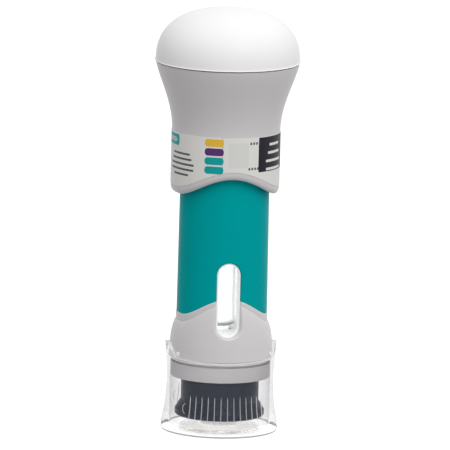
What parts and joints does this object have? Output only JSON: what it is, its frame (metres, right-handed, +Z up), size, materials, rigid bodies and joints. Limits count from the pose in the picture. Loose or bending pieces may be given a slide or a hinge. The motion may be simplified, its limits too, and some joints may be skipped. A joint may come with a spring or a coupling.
{
  "type": "prefilled injection pen",
  "caption": "Palm-pushed prefilled injection pen with a flared handle, a windowed body, a sprung needle guard and a clear pull-off cap.",
  "frame": {"origin": "centre of the bottom cap's foot, on the surface that the pen stands on", "axes": "+Z up along the pen to the palm dome, -Y out of the front viewing window, the cap's ears at +X and -X"},
  "size_m": [0.0446, 0.0446, 0.1303],
  "materials": {
    "white_gloss": "glossy moulded",
    "white_satin": "satin moulded",
    "teal_gloss": "glossy moulded",
    "nose_white": "satin moulded",
    "frame_white": "moulded",
    "slate": "moulded",
    "clear_plastic": "clear moulded",
    "label_paper": "coated paper",
    "glass": "clear",
    "steel": "drawn",
    "grey_rubber": "moulded",
    "yellow_plastic": "moulded"
  },
  "bodies": {
    "housing": {"body_sleeve": "teal_gloss", "nose_shell": "nose_white", "syringe_carrier": "frame_white", "flange_damper": "grey_rubber", "flange_retainer": "frame_white", "syringe_barrel": "glass", "needle": "steel"},
    "handle": {"handle_shell": "white_satin", "palm_dome": "white_gloss", "handle_label": "label_paper", "plunger_rod": "frame_white", "rod_plate": "frame_white", "guide_ring": "frame_white"},
    "stopper": {"stopper": "grey_rubber"},
    "guard": {"needle_guard": "slate", "lock_band": "yellow_plastic", "guard_spring": "steel"},
    "cap": {"bottom_cap": "clear_plastic", "shield_puller": "frame_white", "rigid_needle_shield": "white_satin", "shield_rubber": "grey_rubber"}
  },
  "joints": [
    {"name": "handle_press", "type": "slide", "parent": "housing", "child": "handle", "axis": [0, 0, -1], "range_m": [0, 0.0365]},
    {"name": "stopper_slide", "type": "slide", "parent": "housing", "child": "stopper", "axis": [0, 0, -1], "range_m": [0, 0.0317]},
    {"name": "guard_retract", "type": "slide", "parent": "housing", "child": "guard", "axis": [0, 0, 1], "range_m": [0, 0.0111], "stiffness_N_per_m": 150, "springref_m": -0.003, "deforming": ["guard_spring"]},
    {"name": "cap_pull", "type": "slide", "parent": "housing", "child": "cap", "axis": [0, 0, -1], "range_m": [0, 0.04]}
  ],
  "couplings": [
    {"joint": "stopper_slide", "follows": "handle_press", "ratio": 0.8658}
  ]
}
